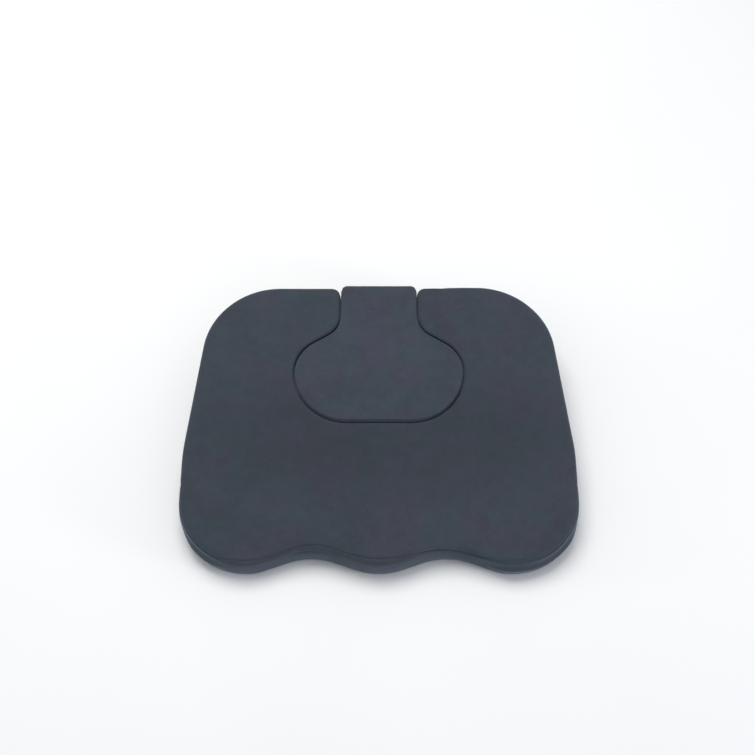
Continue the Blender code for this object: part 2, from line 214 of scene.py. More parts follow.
def half_slot_corners():
    return [
        (NECK_HALF_WIDTH, SHOULDER_Y, SHOULDER_RADIUS),
        (BULB_HALF_WIDTH, BULB_REAR_Y, BULB_REAR_RADIUS),
        (BULB_HALF_WIDTH, BULB_FRONT_Y, BULB_FRONT_RADIUS),
    ]


def cushion_corners():
    slot = half_slot_corners()
    right, left = side_corners(RIGHT_TIP_RADIUS), side_corners(LEFT_TIP_RADIUS)
    return [*front_corners(), *right, *slot, *mirrored(slot), *mirrored(left)]


def insert_corners():
    slot = half_slot_corners()
    tail = (NECK_HALF_WIDTH, TAIL_REAR_Y + CLEARANCE, TAIL_RADIUS)
    return [tail, *mirrored([tail]), *mirrored(slot)[::-1], *slot[::-1]]


def clockwise_rectangle(half_length, half_width, middle_y, radius):
    """A hole's outline, so that what lies to its left is outside it."""
    low, high = middle_y - half_width, middle_y + half_width
    corners = [(-half_length, low), (-half_length, high), (half_length, high), (half_length, low)]
    return [(x, y, radius) for x, y in corners]


def spread_along(values, points, width):
    """The values smoothed along a closed outline, over about this width."""
    steps = np.linalg.norm(np.roll(points, -1, axis=0) - points, axis=1)
    reach = max(1, int(width / steps.mean()))
    window = np.hanning(2 * reach + 3)[1:-1]
    padded = np.concatenate([values[-reach:], values, values[:reach]])
    return np.convolve(padded, window / window.sum(), mode="valid")


class Outline:
    """A plan outline and what changes along it.

    slot is 1 on the slot's wall and 0 outside it, rim is the radius of the rounded edge, reach is how far in
    the top's rings go, and upright is 1 at a vertical seam.
    """

    def __init__(self, corners, offset=0.0, all_slot=False):
        points, self.inward = sample(corners, ALONG)
        self.points = points + self.inward * offset
        x, y = self.points.T
        at_tip = (np.abs(np.abs(x) - NECK_HALF_WIDTH) < TIP_ZONE) & (y > WING_REAR_Y - TIP_ZONE)
        reach = spread_along(np.where(at_tip, TIP_REACH, RIM_REACH), self.points, 10 * MM)
        on_tail = 1 - 0.5 * hill(y, TAIL_REAR_Y, 6 * MM)
        by_slot = (np.abs(x) < BULB_HALF_WIDTH + MM) & (y > BULB_FRONT_Y - MM) & (y < WING_REAR_Y - 6 * MM)
        self.slot = on_tail if all_slot else spread_along(by_slot.astype(float), self.points, 14 * MM)
        self.rim = OUTER_RIM + ((INSERT_RIM if all_slot else SLOT_RIM) - OUTER_RIM) * self.slot
        self.reach = np.maximum(reach, self.rim + MM)
        side_seam = hill_at(np.abs(x), y, HALF_WIDTH, SIDE_SEAM_Y, 2 * MM, 1.2 * MM)
        slot_seam = hill_at(np.abs(x), y, NECK_HALF_WIDTH, SLOT_SEAM_Y, 2 * MM, 1.2 * MM)
        self.upright = np.zeros(len(x)) if all_slot else side_seam + 0.5 * slot_seam

    def ring(self, inset):
        return self.points + self.inward * np.reshape(inset, (-1, 1))

    def bulge(self, share):
        """How far the wall stands out at this share of its height: in the slot, right up to the rim."""
        outer = OUTER_WALL_BULGE * sin(pi * share) ** 0.8
        in_slot = SLOT_WALL_BULGE * (1 - (1 - share) ** 8)
        return outer * (1 - self.slot) + in_slot * self.slot


# -------- heights


def hill(x, centre, spread):
    return np.exp(-(((x - centre) / spread) ** 2))


def hill_at(x, y, centre_x, centre_y, spread_x, spread_y):
    return hill(x, centre_x, spread_x) * hill(y, centre_y, spread_y)


def plane_height(y):
    return SEAM_HEIGHT + SLOPE * (y - SIDE_SEAM_Y)


def contour(x, y):
    """Moulded shape of the top: thigh troughs with a pommel between them, and a shallow seat behind."""
    side = np.abs(x)
    pommel = 1.6 * MM * hill_at(x, y, 0, FRONT_Y + 30 * MM, 42 * MM, 55 * MM)
    troughs = -2.2 * MM * hill_at(side, y, 118 * MM, -105 * MM, 48 * MM, 60 * MM)
    seat = -1.4 * MM * hill_at(side, y, 95 * MM, -30 * MM, 60 * MM, 42 * MM)
    bolsters = 1.4 * MM * np.clip((side - 165 * MM) / (50 * MM), 0, 1) ** 2
    wings = 1.2 * MM * hill_at(side, y, 150 * MM, 120 * MM, 50 * MM, 50 * MM)
    right_wing = 2.0 * MM * hill_at(x, y, 105 * MM, 175 * MM, 65 * MM, 45 * MM)
    return pommel + troughs + seat + bolsters + wings + right_wing


def cushion_top(x, y):
    return plane_height(y) + contour(x, y)


def insert_top(x, y):
    crown = 2.0 * MM * hill_at(x, y, 0, 40 * MM, 85 * MM, 62 * MM)
    tail = hill(y, TAIL_REAR_Y, 50 * MM)
    return plane_height(y) + contour(x, y) * (1 - tail) + crown + 1.2 * MM * tail


def comfort_base(x, y):
    return plane_height(y) - COMFORT_DROP


# -------- meshes


def make_object(name, points, faces):
    mesh = bpy.data.meshes.new(name)
    mesh.from_pydata([tuple(p) for p in points], [], [tuple(int(i) for i in f) for f in faces])
    mesh.validate()
    mesh.shade_smooth()
    obj = bpy.data.objects.new(name, mesh)
    bpy.context.scene.collection.objects.link(obj)
    return obj


def strip(lower, upper, closed=True):
    """Quads between two rows of vertex numbers."""
    count = len(lower)
    return [
        (lower[i], lower[(i + 1) % count], upper[(i + 1) % count], upper[i])
        for i in range(count if closed else count - 1)
    ]


def lift(flat, height):
    """Plan points with their height added."""
    return np.column_stack([flat, np.broadcast_to(height, len(flat))])


def inside(points, polygon):
    """Which points lie in the polygon, by counting the edges that a ray to the right crosses."""
    x, y = points[:, :1], points[:, 1:]
    ax, ay = polygon.T
    bx, by = np.roll(polygon, -1, axis=0).T
    spans = (ay > y) != (by > y)
    rise = np.where(by == ay, 1.0, by - ay)
    return (spans & (x < ax + (y - ay) * (bx - ax) / rise)).sum(axis=1) % 2 == 1


def distance_to(points, polygon):
    """Each point's distance from the polygon's edge."""
    start = polygon[None]
    along = np.roll(polygon, -1, axis=0)[None] - start
    share = ((points[:, None] - start) * along).sum(-1) / np.maximum((along**2).sum(-1), 1e-12)
    nearest = start + np.clip(share, 0, 1)[..., None] * along
    return np.linalg.norm(points[:, None] - nearest, axis=-1).min(axis=1)


def hex_grid(polygon, pitch, margin, holes=()):
    """Points of a triangular grid inside the polygon, at least margin from its edge and each hole's."""
    low, high = polygon.min(axis=0), polygon.max(axis=0)
    row_pitch = pitch * sin(pi / 3)
    rows = []
    for row in range(int((high[1] - low[1]) / row_pitch) + 2):
        x = np.arange(low[0], high[0] + pitch, pitch) + (row % 2) * pitch / 2
        rows.append(np.column_stack([x, np.full(len(x), low[1] + row * row_pitch)]))
    grid = np.concatenate(rows)
    grid = grid[inside(grid, polygon)]
    grid = grid[distance_to(grid, polygon) > margin]
    for hole in holes:
        grid = grid[~inside(grid, hole)]
        grid = grid[distance_to(grid, hole) > margin]
    return grid


def fill(ring, pitch, holes=()):
    """(extra points, triangles) that fill a ring. Triangles number the ring, the holes, then the rest."""
    extra = hex_grid(ring, pitch, pitch * 0.6, holes)
    loops = [ring, *holes]
    flat = np.concatenate([*loops, extra])
    edges, start = [], 0
    for loop in loops:
        edges += [(start + i, start + (i + 1) % len(loop)) for i in range(len(loop))]
        start += len(loop)
    _, _, faces, origins, _, _ = delaunay_2d_cdt([Vector(p) for p in flat], edges, [], 1, 1e-7)
    triangles = np.array([[origins[i][0] for i in face] for face in faces])
    for hole in holes:
        triangles = triangles[~inside(flat[triangles].mean(axis=1), hole)]
    a, b, c = (flat[triangles[:, i]] for i in range(3))
    turn = (b[:, 0] - a[:, 0]) * (c[:, 1] - a[:, 1]) - (b[:, 1] - a[:, 1]) * (c[:, 0] - a[:, 0])
    triangles[turn < 0] = triangles[turn < 0][:, ::-1]
    return extra, triangles


class Shell:
    """A surface grown ring by ring along outlines, with each face marked by its panel."""

    def __init__(self):
        self.points, self.faces, self.panels = [], [], []
        self.hold, self.above_seam = [], []
        self.last_ring = None

    def add_points(self, points, hold, above_seam):
        start = len(self.points)
        self.points += list(points)
        self.hold += list(np.broadcast_to(hold, len(points)))
        self.above_seam += list(np.broadcast_to(above_seam, len(points)))
        return list(range(start, len(self.points)))

    def begin(self, points):
        """Starts a new run of rings."""
        self.last_ring = self.add_points(points, 1.0, 0.0)
        return self.last_ring

    def add_ring(self, points, panel, hold=1.0, above_seam=0.0):
        """Joins a ring to the one before it."""
        numbers = self.add_points(points, hold, above_seam)
        self.add_faces(strip(self.last_ring, numbers), panel)
        self.last_ring = numbers
        return numbers

    def add_faces(self, faces, panel):
        self.faces += [tuple(int(i) for i in face) for face in faces]
        self.panels += [panel] * len(faces)

    def close(self, ring, height, panel, pitch, facing_up, hold=1.0, holes=()):
        """Fills a ring with triangles round the holes, which are rings too. height may be a function."""
        loops = [np.array([self.points[i][:2] for i in loop]) for loop in (ring, *holes)]
        extra, triangles = fill(loops[0], pitch, loops[1:])
        heights = height(*extra.T) if callable(height) else height
        added = self.add_points(lift(extra, heights), hold, RIM_REACH)
        numbers = np.concatenate([ring, *holes, added]).astype(int)
        self.add_faces(numbers[triangles] if facing_up else numbers[triangles][:, ::-1], panel)

    def panel(self, name, panel, points, strip_name=None):
        """A new object from one panel's faces, or from those in one of the border's strips."""
        faces = [f for f, p in zip(self.faces, self.panels) if p == panel]
        if strip_name:
            faces = [f for f in faces if border_strip(*points[list(f)].mean(axis=0)[:2]) == strip_name]
        used = sorted({i for face in faces for i in face})
        renumber = {old: new for new, old in enumerate(used)}
        return make_object(name, points[used], [[renumber[i] for i in f] for f in faces])


# -------- cover shells


def rim_profile(outline, top, along, depth=0.0):
    """Points of the cover at this distance up from the rim's foot, pressed in by depth.

    Below 0 it is on the wall, then it goes round the rim's quarter circle, and then it is on the top.
    """
    rim = outline.rim
    angle = np.clip(along / rim, 0, pi / 2)
    inset = rim * (1 - np.cos(angle)) + np.maximum(along - rim * pi / 2, 0) + depth * np.cos(angle)
    flat = outline.ring(inset)
    height = top(*flat.T) - rim * (1 - np.sin(angle)) + np.minimum(along, 0) - depth * np.sin(angle)
    return lift(flat, height)


def turned_edge(outline):
    """Rings of the base panel's edge, from the underside to its seam with the border."""
    to_seam = BASE_SEAM_HEIGHT - BASE_HEIGHT
    places = ((6.0 * MM, 0.0), (3.0 * MM, 0.0), (1.5 * MM, 0.5 * MM), (SEAM_DEPTH, to_seam))
    return [lift(outline.ring(inset), BASE_HEIGHT + rise) for inset, rise in places]


def cover_shell(outline, top, seam_along, wall_hold, top_hold):
    """The whole cover but the base's middle, with a crease where the top is sewn to the border."""
    shell = Shell()
    edge = turned_edge(outline)
    shell.begin(edge[0])
    for ring in edge[1:]:
        shell.add_ring(ring, "base")
    shell.add_ring(lift(outline.ring(0.5 * SEAM_DEPTH), BASE_SEAM_HEIGHT + 0.8 * MM), "border")
    start = WALL_FOOT - (top(*outline.points.T) - outline.rim)
    end = seam_along - 2 * SEAM_HALF_WIDTH
    for step in range(WALL_RINGS + 1):
        share = step / WALL_RINGS
        along = start + (end - start) * share
        depth = UPRIGHT_SEAM_DEPTH * outline.upright - outline.bulge(share)
        points = rim_profile(outline, top, along, depth)
        hold = np.maximum(1 - (1 - wall_hold) * sin(pi * share), outline.upright + outline.slot)
        shell.add_ring(points, "border", np.clip(hold, 0, 1), along - seam_along)
    seam_depth = SEAM_DEPTH + (SLOT_SEAM_DEPTH - SEAM_DEPTH) * outline.slot
    for step, depth, panel in ((-1, 0.45, "border"), (0, 1.0, "border"), (1, 0.45, "top")):
        along = seam_along + step * SEAM_HALF_WIDTH
        points = rim_profile(outline, top, along, depth * seam_depth - outline.bulge(1.0))
        shell.add_ring(points, panel, 1.0, along - seam_along)
    start, end = seam_along + 2 * SEAM_HALF_WIDTH, outline.rim * (pi / 2 - 1) + outline.reach
    for step in range(TOP_RINGS + 1):
        share = step / TOP_RINGS
        along = start + (end - start) * share
        hold = 1 - (1 - top_hold) * min(1, 2 * share)
        points = rim_profile(outline, top, along, -outline.bulge(1.0) * max(0.0, 1 - 3 * share))
        shell.add_ring(points, "top", hold, along - seam_along)
    shell.close(shell.last_ring, top, "top", GRID, facing_up=True, hold=top_hold)
    return shell


def swollen(shell, most):
    """The shell's points after a cloth simulation swells it, each moved by no more than this."""
    before = np.array(shell.points)
    obj = make_object("swelling", before, shell.faces)
    group = obj.vertex_groups.new(name="held")
    for index, mask_weight in enumerate(shell.hold):
        group.add([index], float(mask_weight), "REPLACE")
    cloth = obj.modifiers.new("swell", "CLOTH")
    cloth.settings.quality = 5
    cloth.settings.mass = 0.2
    cloth.settings.tension_stiffness = cloth.settings.compression_stiffness = 15
    cloth.settings.shear_stiffness = 5
    cloth.settings.bending_stiffness = 0.4
    cloth.settings.vertex_group_mass = "held"
    cloth.settings.pin_stiffness = 0.05
    cloth.settings.shrink_min = cloth.settings.shrink_max = 0.001
    cloth.settings.use_pressure = True
    cloth.settings.uniform_pressure_force = PRESSURE
    cloth.settings.effector_weights.gravity = 0
    cloth.point_cache.frame_end = SWELLING_FRAMES
    scene = bpy.context.scene
    for step in range(1, SWELLING_FRAMES + 1):
        scene.frame_set(step)
    evaluated = obj.evaluated_get(bpy.context.evaluated_depsgraph_get())
    after = np.empty(len(before) * 3)
    evaluated.data.vertices.foreach_get("co", after)
    scene.frame_set(1)
    bpy.data.objects.remove(obj)
    move = after.reshape(-1, 3) - before
    length = np.linalg.norm(move, axis=1, keepdims=True)
    return before + move * np.minimum(1, most / np.maximum(length, 1e-9))


def outward(points, faces):
    """Unit normal at each point."""
    scratch = make_object("scratch", points, faces)
    normals = np.empty(len(points) * 3)
    scratch.data.vertices.foreach_get("normal", normals)
    bpy.data.objects.remove(scratch)
    return normals.reshape(-1, 3)


def rumpled(shell, points):
    """Soft undulations where the cloth is free to move, and small puckers beside its seam."""
    undulations_per_metre, puckers_per_metre = 26, 85
    free = 1 - np.array(shell.hold)
    by_seam = hill(np.array(shell.above_seam), 0, 11 * MM)
    broad = np.array([noise.noise(Vector(place) * undulations_per_metre) for place in points])
    fine = np.array([noise.noise(Vector(place) * puckers_per_metre) for place in points])
    height = (0.9 * MM * broad + 0.7 * MM * fine * by_seam) * free
    return points + outward(points, shell.faces) * height[:, None]


# -------- camera, light and floor


def add_camera():
    """Looks down at the seat from in front, as a standing person sees it."""
    data = bpy.data.cameras.new("camera")
    data.lens, data.sensor_width = 61.2, 36
    data.clip_start, data.clip_end = 0.05, 20
    camera = bpy.data.objects.new("camera", data)
    camera.location = (-0.0017, -0.767, 1.353)
    degrees_below_level = 57.66
    camera.rotation_euler = (radians(90 - degrees_below_level), 0, 0)
    bpy.context.scene.collection.objects.link(camera)
    bpy.context.scene.camera = camera


def add_light(name, place, target, size, power, colour):
    data = bpy.data.lights.new(name, "AREA")
    data.shape, data.size, data.energy, data.color = "DISK", size, power, colour
    light = bpy.data.objects.new(name, data)
    light.location = place
    light.rotation_euler = (Vector(target) - Vector(place)).to_track_quat("-Z", "Y").to_euler()
    bpy.context.scene.collection.objects.link(light)


def add_studio():
    scene = bpy.context.scene
    scene.view_settings.view_transform = "Standard"
    world = bpy.data.worlds.new("studio")
    world.use_nodes = True
    background = world.node_tree.nodes["Background"]
    background.inputs["Color"].default_value = (0.93, 0.96, 1.0, 1.0)
    background.inputs["Strength"].default_value = 0.5
    scene.world = world
    middle = (0, 0, 0.03)
    add_light("key", (-0.3, 0.7, 2.1), middle, 1.6, 30, (1.0, 0.985, 0.96))
    add_light("rim_right", (1.9, -0.7, 0.4), middle, 0.5, 12, (0.82, 0.91, 1.0))
    add_light("rim_left", (-2.0, -0.05, 0.4), middle, 0.5, 5, (0.85, 0.95, 1.0))
    floor = make_object("floor", [(-4, -4, 0), (4, -4, 0), (4, 4, 0), (-4, 4, 0)], [(0, 1, 2, 3)])
    floor.location.z = -0.3 * MM
    floor.data.materials.append(floor_finish())


# -------- materials


class Surface:
    """A Principled material that is built up node by node."""

    def __init__(self, name):
        self.material = bpy.data.materials.new(name)
        self.material.use_nodes = True
        self.nodes = self.material.node_tree.nodes
        self.shader = self.nodes["Principled BSDF"]
        self.place = self.nodes.new("ShaderNodeTexCoord").outputs["Object"]

    def feed(self, node, inputs):
        """Sets each of these inputs to a number or a colour, or links it to another node's output."""
        for name, value in inputs.items():
            socket = node.inputs[name]
            if isinstance(value, (int, float)):
                socket.default_value = value
            elif isinstance(value, tuple):
                socket.default_value = (*value, 1.0)[: len(socket.default_value)]
            else:
                self.material.node_tree.links.new(value, socket)

    def add(self, kind, inputs, **settings):
        node = self.nodes.new(kind)
        for name, value in settings.items():
            setattr(node, name, value)
        self.feed(node, inputs)
        return node

    def moved(self, scale=(1.0, 1.0, 1.0), turn=(0.0, 0.0, 0.0), shift=(0.0, 0.0, 0.0)):
        """Places on the object, scaled, then turned, then shifted."""
        inputs = {"Scale": scale, "Rotation": turn, "Location": shift, "Vector": self.place}
        return self.add("ShaderNodeMapping", inputs).outputs["Vector"]

    def noise(self, scale, detail=3.0, roughness=0.55, stretch=(1.0, 1.0, 1.0), distortion=0.0):
        """Noise with this many blobs per metre."""
        inputs = {"Scale": scale, "Detail": detail, "Roughness": roughness, "Distortion": distortion}
        return self.add("ShaderNodeTexNoise", inputs | {"Vector": self.moved(stretch)}).outputs["Fac"]

    def cells(self, scale):
        return self.add("ShaderNodeTexVoronoi", {"Scale": scale, "Vector": self.place}).outputs["Distance"]

    def zone(self, centre, reach):
        """1 at a place on the object, falling to 0 at this reach from it along each axis."""
        scale = tuple(1 / along for along in reach)
        shift = tuple(-place / along for place, along in zip(centre, reach))
        inputs = {"Vector": self.moved(scale, shift=shift)}
        return self.add("ShaderNodeTexGradient", inputs, gradient_type="SPHERICAL").outputs["Fac"]

    def bands(self, pitch, axis, turn=(0.0, 0.0, 0.0), distortion=0.0):
        """Sine bands this far apart along an axis of the turned object."""
        inputs = {"Scale": 2 * pi / pitch / 20, "Distortion": distortion, "Vector": self.moved(turn=turn)}
        wave = {"wave_type": "BANDS", "bands_direction": axis, "wave_profile": "SIN"}
        return self.add("ShaderNodeTexWave", inputs, **wave).outputs["Fac"]

    def ramp(self, value, low, high, to_low=0.0, to_high=1.0):
        inputs = {"Value": value, "From Min": low, "From Max": high, "To Min": to_low, "To Max": to_high}
        return self.add("ShaderNodeMapRange", inputs, clamp=True).outputs["Result"]

    def combine(self, operation, first, second):
        return self.add("ShaderNodeMath", {0: first, 1: second}, operation=operation).outputs["Value"]

    def blend(self, share, first, second):
        """Mix of two colours, each a tuple or another node's output."""
        return self.add("ShaderNodeMix", {0: share, 6: first, 7: second}, data_type="RGBA").outputs[2]

    def bump(self, height, strength, distance, under=None):
        inputs = {"Height": height, "Strength": strength, "Distance": distance}
        if under:
            inputs["Normal"] = under
        return self.add("ShaderNodeBump", inputs).outputs["Normal"]

    def finish(self, colour, roughness, normal, **constants):
        """Constants are set on the shader's own sockets, with _ for a space in the name."""
        self.feed(self.shader, {"Base Color": colour, "Roughness": roughness, "Normal": normal})
        self.feed(self.shader, {name.replace("_", " "): value for name, value in constants.items()})
        return self.material


def shaded(colour, factor):
    return tuple(min(1.0, channel * factor) for channel in colour)


def floor_finish():
    surface = Surface("floor_paper")
    grain = surface.noise(400, 3)
    tone = surface.ramp(surface.noise(3, 2), 0.3, 0.7)
    colour = surface.blend(tone, (0.95, 0.95, 0.95), (0.97, 0.97, 0.97))
    return surface.finish(colour, 0.9, surface.bump(grain, 0.05, 0.1 * MM))


def microfibre(name, middle, painted_seat_shade=0.0):
    """Brushed knit: its nap lies in soft patches that lean to teal or to violet, with a fine fleck and lint.

    Over the seat, in front of the slot, the colour is darkened by the given share: painted shade that stands
    in for the shading of the seat hollow.
    """
    surface = Surface(name)
    patches = surface.noise(16, 4, 0.62, distortion=0.6)
    strokes = surface.noise(80, 5, 0.62)
    fleck = surface.noise(850, 2, 0.7, stretch=(1.0, 0.5, 1.0))
    halves = [surface.combine("MULTIPLY", tone, 0.5) for tone in (patches, strokes)]
    shade = surface.combine("ADD", *halves)
    colour = surface.blend(surface.ramp(shade, 0.40, 0.60), shaded(middle, 0.80), shaded(middle, 1.20))
    teal = (middle[0] * 0.80, middle[1] * 1.08, middle[2] * 1.0)
    violet = (middle[0] * 1.14, middle[1] * 0.94, middle[2] * 1.05)
    hue = surface.ramp(surface.noise(22, 3, 0.6), 0.42, 0.58)
    colour = surface.blend(0.45, colour, surface.blend(hue, teal, violet))
    colour = surface.blend(surface.ramp(fleck, 0.35, 0.7, 0.0, 0.20), colour, shaded(middle, 1.5))
    lint = surface.noise(330, 1, 0.5, stretch=(1.0, 0.6, 1.0))
    colour = surface.blend(surface.ramp(lint, 0.72, 0.80, 0.0, 0.25), colour, shaded(middle, 2.4))
    # Painted shade: a darker patch over the seat, its edge broken up by the patches' noise.
    if painted_seat_shade:
        mask_weight = surface.zone((5 * MM, -20 * MM, 45 * MM), (300 * MM, 110 * MM, 300 * MM))
        seat_shade_mask = surface.combine("ADD", mask_weight, surface.ramp(patches, 0.3, 0.7, -0.12, 0.12))
        colour = surface.blend(surface.ramp(seat_shade_mask, 0.05, 0.6, 0.0, painted_seat_shade), colour, shaded(middle, 0.5))
    pile = surface.bump(fleck, 0.3, 0.25 * MM)
    nap = surface.bump(strokes, 0.18, 0.5 * MM, under=pile)
    rough = surface.ramp(strokes, 0.3, 0.7, 0.86, 0.98)
    return surface.finish(
        colour, rough, nap, Sheen_Weight=0.3, Sheen_Roughness=0.5,
        Sheen_Tint=(0.62, 0.74, 0.9), Specular_IOR_Level=0.15,
    )


def base_weave():
    """Plain-woven charcoal cloth with a slight slub."""
    surface = Surface("base_weave")
    warp, weft = (surface.bands(1.1 * MM, axis, distortion=0.6) for axis in "XY")
    threads = surface.combine("MAXIMUM", surface.ramp(warp, 0.2, 0.9), surface.ramp(weft, 0.2, 0.9))
    slub = surface.noise(120, 3, 0.6, stretch=(1.0, 0.3, 1.0))
    colour = surface.blend(threads, (0.012, 0.013, 0.016), (0.030, 0.033, 0.039))
    colour = surface.blend(surface.ramp(slub, 0.35, 0.7, 0.0, 0.35), colour, (0.045, 0.049, 0.057))
    rough = surface.ramp(slub, 0.3, 0.7, 0.8, 0.95)
    return surface.finish(colour, rough, surface.bump(threads, 0.6, 0.2 * MM), Specular_IOR_Level=0.3)


def grip_rubber():
    surface = Surface("grip_rubber")
    dust = surface.noise(700, 3, 0.6)
    colour = surface.blend(surface.ramp(dust, 0.4, 0.7), (0.010, 0.010, 0.011), (0.024, 0.024, 0.026))
    return surface.finish(colour, surface.ramp(dust, 0.3, 0.7, 0.45, 0.7), surface.bump(dust, 0.2, 0.1 * MM))


def sewing_thread():
    """Twisted thread, a shade lighter than the base."""
    surface = Surface("base_thread")
    twist = surface.bands(0.5 * MM, "DIAGONAL")
    colour = surface.blend(surface.ramp(twist, 0.1, 0.9), (0.03, 0.033, 0.04), (0.065, 0.072, 0.085))
    return surface.finish(colour, surface.ramp(twist, 0, 1, 0.55, 0.75), surface.bump(twist, 0.4, 0.08 * MM))


def open_foam(name, light, pore_shade_colour):
    surface = Surface(name)
    pores, large = surface.cells(900), surface.cells(320)
    depth = surface.combine("MINIMUM", surface.ramp(pores, 0.05, 0.5), surface.ramp(large, 0.02, 0.3))
    yellowing = surface.ramp(surface.noise(14, 3, 0.6), 0.35, 0.7)
    # Painted shade: the pores' hollows take the darker pore colour, where shade would fall in them.
    colour = surface.blend(depth, pore_shade_colour, surface.blend(yellowing, light, shaded(light, 0.88)))
    rough = surface.ramp(depth, 0, 1, 0.98, 0.88)
    return surface.finish(colour, rough, surface.bump(depth, 0.7, 0.4 * MM))


def zip_herringbone():
    """Herringbone tape: diagonal ribs that change their lean every few millimetres."""
    surface = Surface("zip_herringbone")
    lean_left, lean_right = (surface.bands(0.8 * MM, "X", turn=(0, 0, radians(a))) for a in (45, -45))
    column = surface.ramp(surface.bands(4.4 * MM, "Y"), 0.48, 0.52)
    ribs = surface.blend(column, lean_left, lean_right)
    colour = surface.blend(ribs, (0.018, 0.021, 0.028), (0.044, 0.051, 0.064))
    lint = surface.noise(500, 3, 0.7)
    colour = surface.blend(surface.ramp(lint, 0.5, 0.75, 0.0, 0.3), colour, (0.07, 0.08, 0.095))
    rough = surface.ramp(lint, 0.3, 0.7, 0.75, 0.92)
    return surface.finish(colour, rough, surface.bump(ribs, 0.5, 0.12 * MM))


def coil_nylon():
    surface = Surface("coil_nylon")
    scuff = surface.noise(1200, 3, 0.6)
    colour = surface.blend(surface.ramp(scuff, 0.4, 0.7), (0.022, 0.026, 0.034), (0.040, 0.046, 0.058))
    rough = surface.ramp(scuff, 0.3, 0.7, 0.25, 0.45)
    return surface.finish(colour, rough, surface.bump(scuff, 0.1, 0.03 * MM))


def gunmetal():
    surface = Surface("gunmetal")
    grain = surface.noise(900, 4, 0.6, stretch=(0.2, 1.0, 1.0))
    wear = surface.noise(160, 4, 0.7)
    worn = surface.ramp(wear, 0.45, 0.75, 0.0, 0.6)
    colour = surface.blend(worn, (0.075, 0.077, 0.085), (0.22, 0.22, 0.23))
    rough = surface.ramp(grain, 0.3, 0.7, 0.28, 0.46)
    return surface.finish(colour, rough, surface.bump(grain, 0.15, 0.03 * MM), Metallic=0.9)


def label_satin():
    surface = Surface("label_satin")
    ribs = surface.bands(0.45 * MM, "X")
    crinkle = surface.noise(180, 3, 0.6)
    colour = surface.blend(surface.ramp(crinkle, 0.35, 0.7), (0.74, 0.74, 0.72), (0.84, 0.84, 0.82))
    colour = surface.blend(surface.ramp(ribs, 0.1, 0.9, 0.0, 0.25), colour, (0.62, 0.62, 0.60))
    return surface.finish(colour, surface.ramp(ribs, 0, 1, 0.42, 0.6), surface.bump(ribs, 0.25, 0.06 * MM))


# -------- cover panels


def keep(obj, material, body, node):
    """Gives a piece its finish, ties it to its body, and puts it in place of its CAD node."""
    obj.data.materials.append(material)
    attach(obj, body)
    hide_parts(node)


def sew(obj, material, body, node):
    """Smooths a panel, gives it its thickness inwards and its finish."""
    smooth = obj.modifiers.new("smooth", "SUBSURF")
    smooth.levels = smooth.render_levels = 1
    solid = obj.modifiers.new("thickness", "SOLIDIFY")
    solid.thickness, solid.offset = CLOTH, -1
    keep(obj, material, body, node)


def main_seam_along(outline):
    """How far up the rim the top seam runs: it rides over the lobes, the left cove and the right tip."""
    x, y = outline.points.T
    at_front = np.clip((SIDE_SEAM_Y + 20 * MM - y) / (60 * MM), 0, 1)
    ride = 1.5 * MM + 6.5 * MM * hill(x, 0, 45 * MM) + 4.0 * MM * hill(x, -WAVE_PITCH, 34 * MM)
    ride += 4.5 * MM * hill(np.abs(x), 150 * MM, 38 * MM) - 3.0 * MM * hill(x, 100 * MM, 35 * MM)
    tip = 7.0 * MM * hill_at(x, y, NECK_HALF_WIDTH + 12 * MM, WING_REAR_Y, 20 * MM, 12 * MM)
    return SEAM_ALONG + ride * at_front + tip


def pressed(points, normals, above_seam):
    """Creases that handling leaves in the front border.

    The left cove has a second fold and slanting pulls, and the cloth rolls outwards low on the corners.
    """
    x, y = points[:, 0], points[:, 1]
    fold_depth, pull_height, pull_slant = 1.3 * MM, 1.0 * MM, 0.75
    cove = hill(x, -WAVE_PITCH, 24 * MM)
    depth = fold_depth * cove * hill(above_seam, -6.5 * MM, 1.8 * MM)
    for offset in (-9 * MM, 3 * MM, 13 * MM):
        slant = x + WAVE_PITCH - offset + pull_slant * (above_seam + 8 * MM)
        depth -= pull_height * cove * hill(slant, 0, 2.6 * MM) * hill(above_seam, -12 * MM, 9 * MM)
    right_corner = np.clip((x - 118 * MM) / (30 * MM), 0, 1) * np.clip((-122 * MM - y) / (20 * MM), 0, 1)
    left_corner = np.clip((-172 * MM - x) / (20 * MM), 0, 1) * np.clip((-130 * MM - y) / (20 * MM), 0, 1)
    roll = 0.9 * hill(above_seam, -6 * MM, 4 * MM) - 2.1 * hill(above_seam, -15 * MM, 3.8 * MM)
    depth += roll * MM * (right_corner + left_corner)
    for centre, strength in ((WAVE_PITCH, 0.5 * MM), (-150 * MM, 0.35 * MM), (30 * MM, 0.3 * MM)):
        slant = x - centre - 0.5 * above_seam
        depth -= strength * hill(slant, 0, 4 * MM) * hill(above_seam, -10 * MM, 8 * MM)
    on_border = (y < SIDE_SEAM_Y) & (above_seam < 0)
    return points - normals * (depth * on_border)[:, None]


def zip_facts(tape_node):
    """(middle y, half length of the slit) of the zip whose front tape this is."""
    low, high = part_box(tape_node)
    return high.y + TAPE_INNER, (high.x - low.x) / 2 - TAPE_OVERRUN


def slit_outline(tape_node):
    zip_y, half_length = zip_facts(tape_node)
    return sample(clockwise_rectangle(half_length, SLIT_HALF_WIDTH, zip_y, SLIT_CORNER), 4 * MM)


